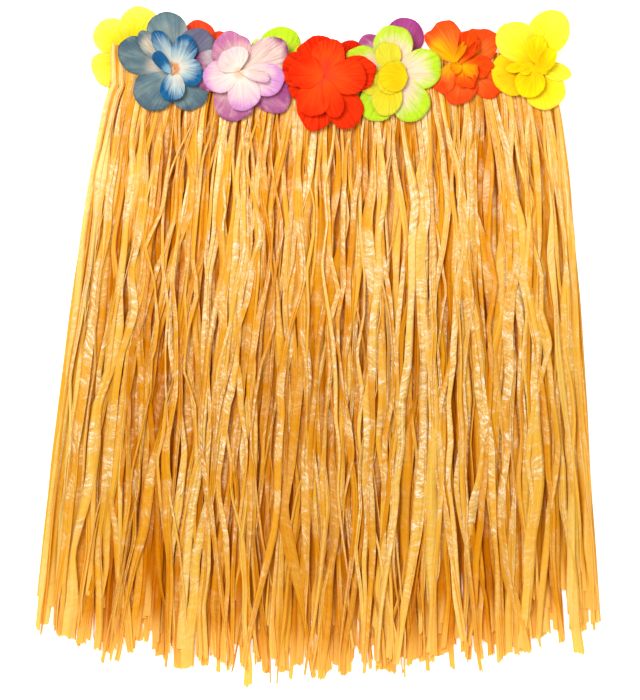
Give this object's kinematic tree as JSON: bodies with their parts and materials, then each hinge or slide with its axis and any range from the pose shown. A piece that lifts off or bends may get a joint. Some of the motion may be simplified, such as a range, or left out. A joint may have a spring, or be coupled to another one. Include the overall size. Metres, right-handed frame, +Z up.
{
  "type": "grass skirt",
  "caption": "Hula grass skirt laid flat: golden raffia ribbons gathered on a narrow waistband trimmed all round with coloured cloth flowers.",
  "frame": {"origin": "centre of the skirt's outline on the surface that it lies on", "axes": "+Z up off the surface, towards the skirt's front; +Y from the hem towards the waist; +X across the skirt, to the right as one looks down on it with the waist at the top"},
  "size_m": [0.4112, 0.4959, 0.0209],
  "materials": {
    "raffia": "satin ribbon, plastic raffia",
    "tape": "gathered raffia and tape, stitched",
    "blue_outer": "dyed stiffened cloth",
    "blue_inner": "dyed stiffened cloth",
    "violet_outer": "dyed stiffened cloth",
    "violet_inner": "dyed stiffened cloth",
    "red": "dyed stiffened cloth",
    "green_outer": "dyed stiffened cloth",
    "green_inner": "dyed stiffened cloth",
    "orange": "dyed stiffened cloth",
    "yellow": "dyed stiffened cloth",
    "orange_red": "dyed stiffened cloth",
    "lime": "dyed stiffened cloth",
    "dark_red": "dyed stiffened cloth",
    "purple": "dyed stiffened cloth",
    "dark_blue": "dyed stiffened cloth"
  },
  "bodies": {
    "root": {"waistband": "tape", "fringe_front_outer": "raffia", "fringe_front_inner": "raffia", "fringe_back_inner": "raffia", "fringe_back_outer": "raffia", "flower_front_1_blue_outer": "blue_outer", "flower_front_1_blue_inner": "blue_inner", "flower_front_2_violet_outer": "violet_outer", "flower_front_2_violet_inner": "violet_inner", "flower_front_3_red_outer": "red", "flower_front_3_red_inner": "red", "flower_front_4_green_outer": "green_outer", "flower_front_4_green_inner": "green_inner", "flower_front_5_orange_outer": "orange", "flower_front_5_orange_inner": "orange", "flower_front_6_yellow_outer": "yellow", "flower_front_6_yellow_inner": "yellow", "flower_back_1_yellow_outer": "yellow", "flower_back_1_yellow_inner": "yellow", "flower_back_2_orange_red_outer": "orange_red", "flower_back_2_orange_red_inner": "orange_red", "flower_back_3_lime_outer": "lime", "flower_back_3_lime_inner": "lime", "flower_back_4_dark_red_outer": "dark_red", "flower_back_4_dark_red_inner": "dark_red", "flower_back_5_purple_outer": "purple", "flower_back_5_purple_inner": "purple", "flower_back_6_dark_blue_outer": "dark_blue", "flower_back_6_dark_blue_inner": "dark_blue"}
  },
  "joints": []
}
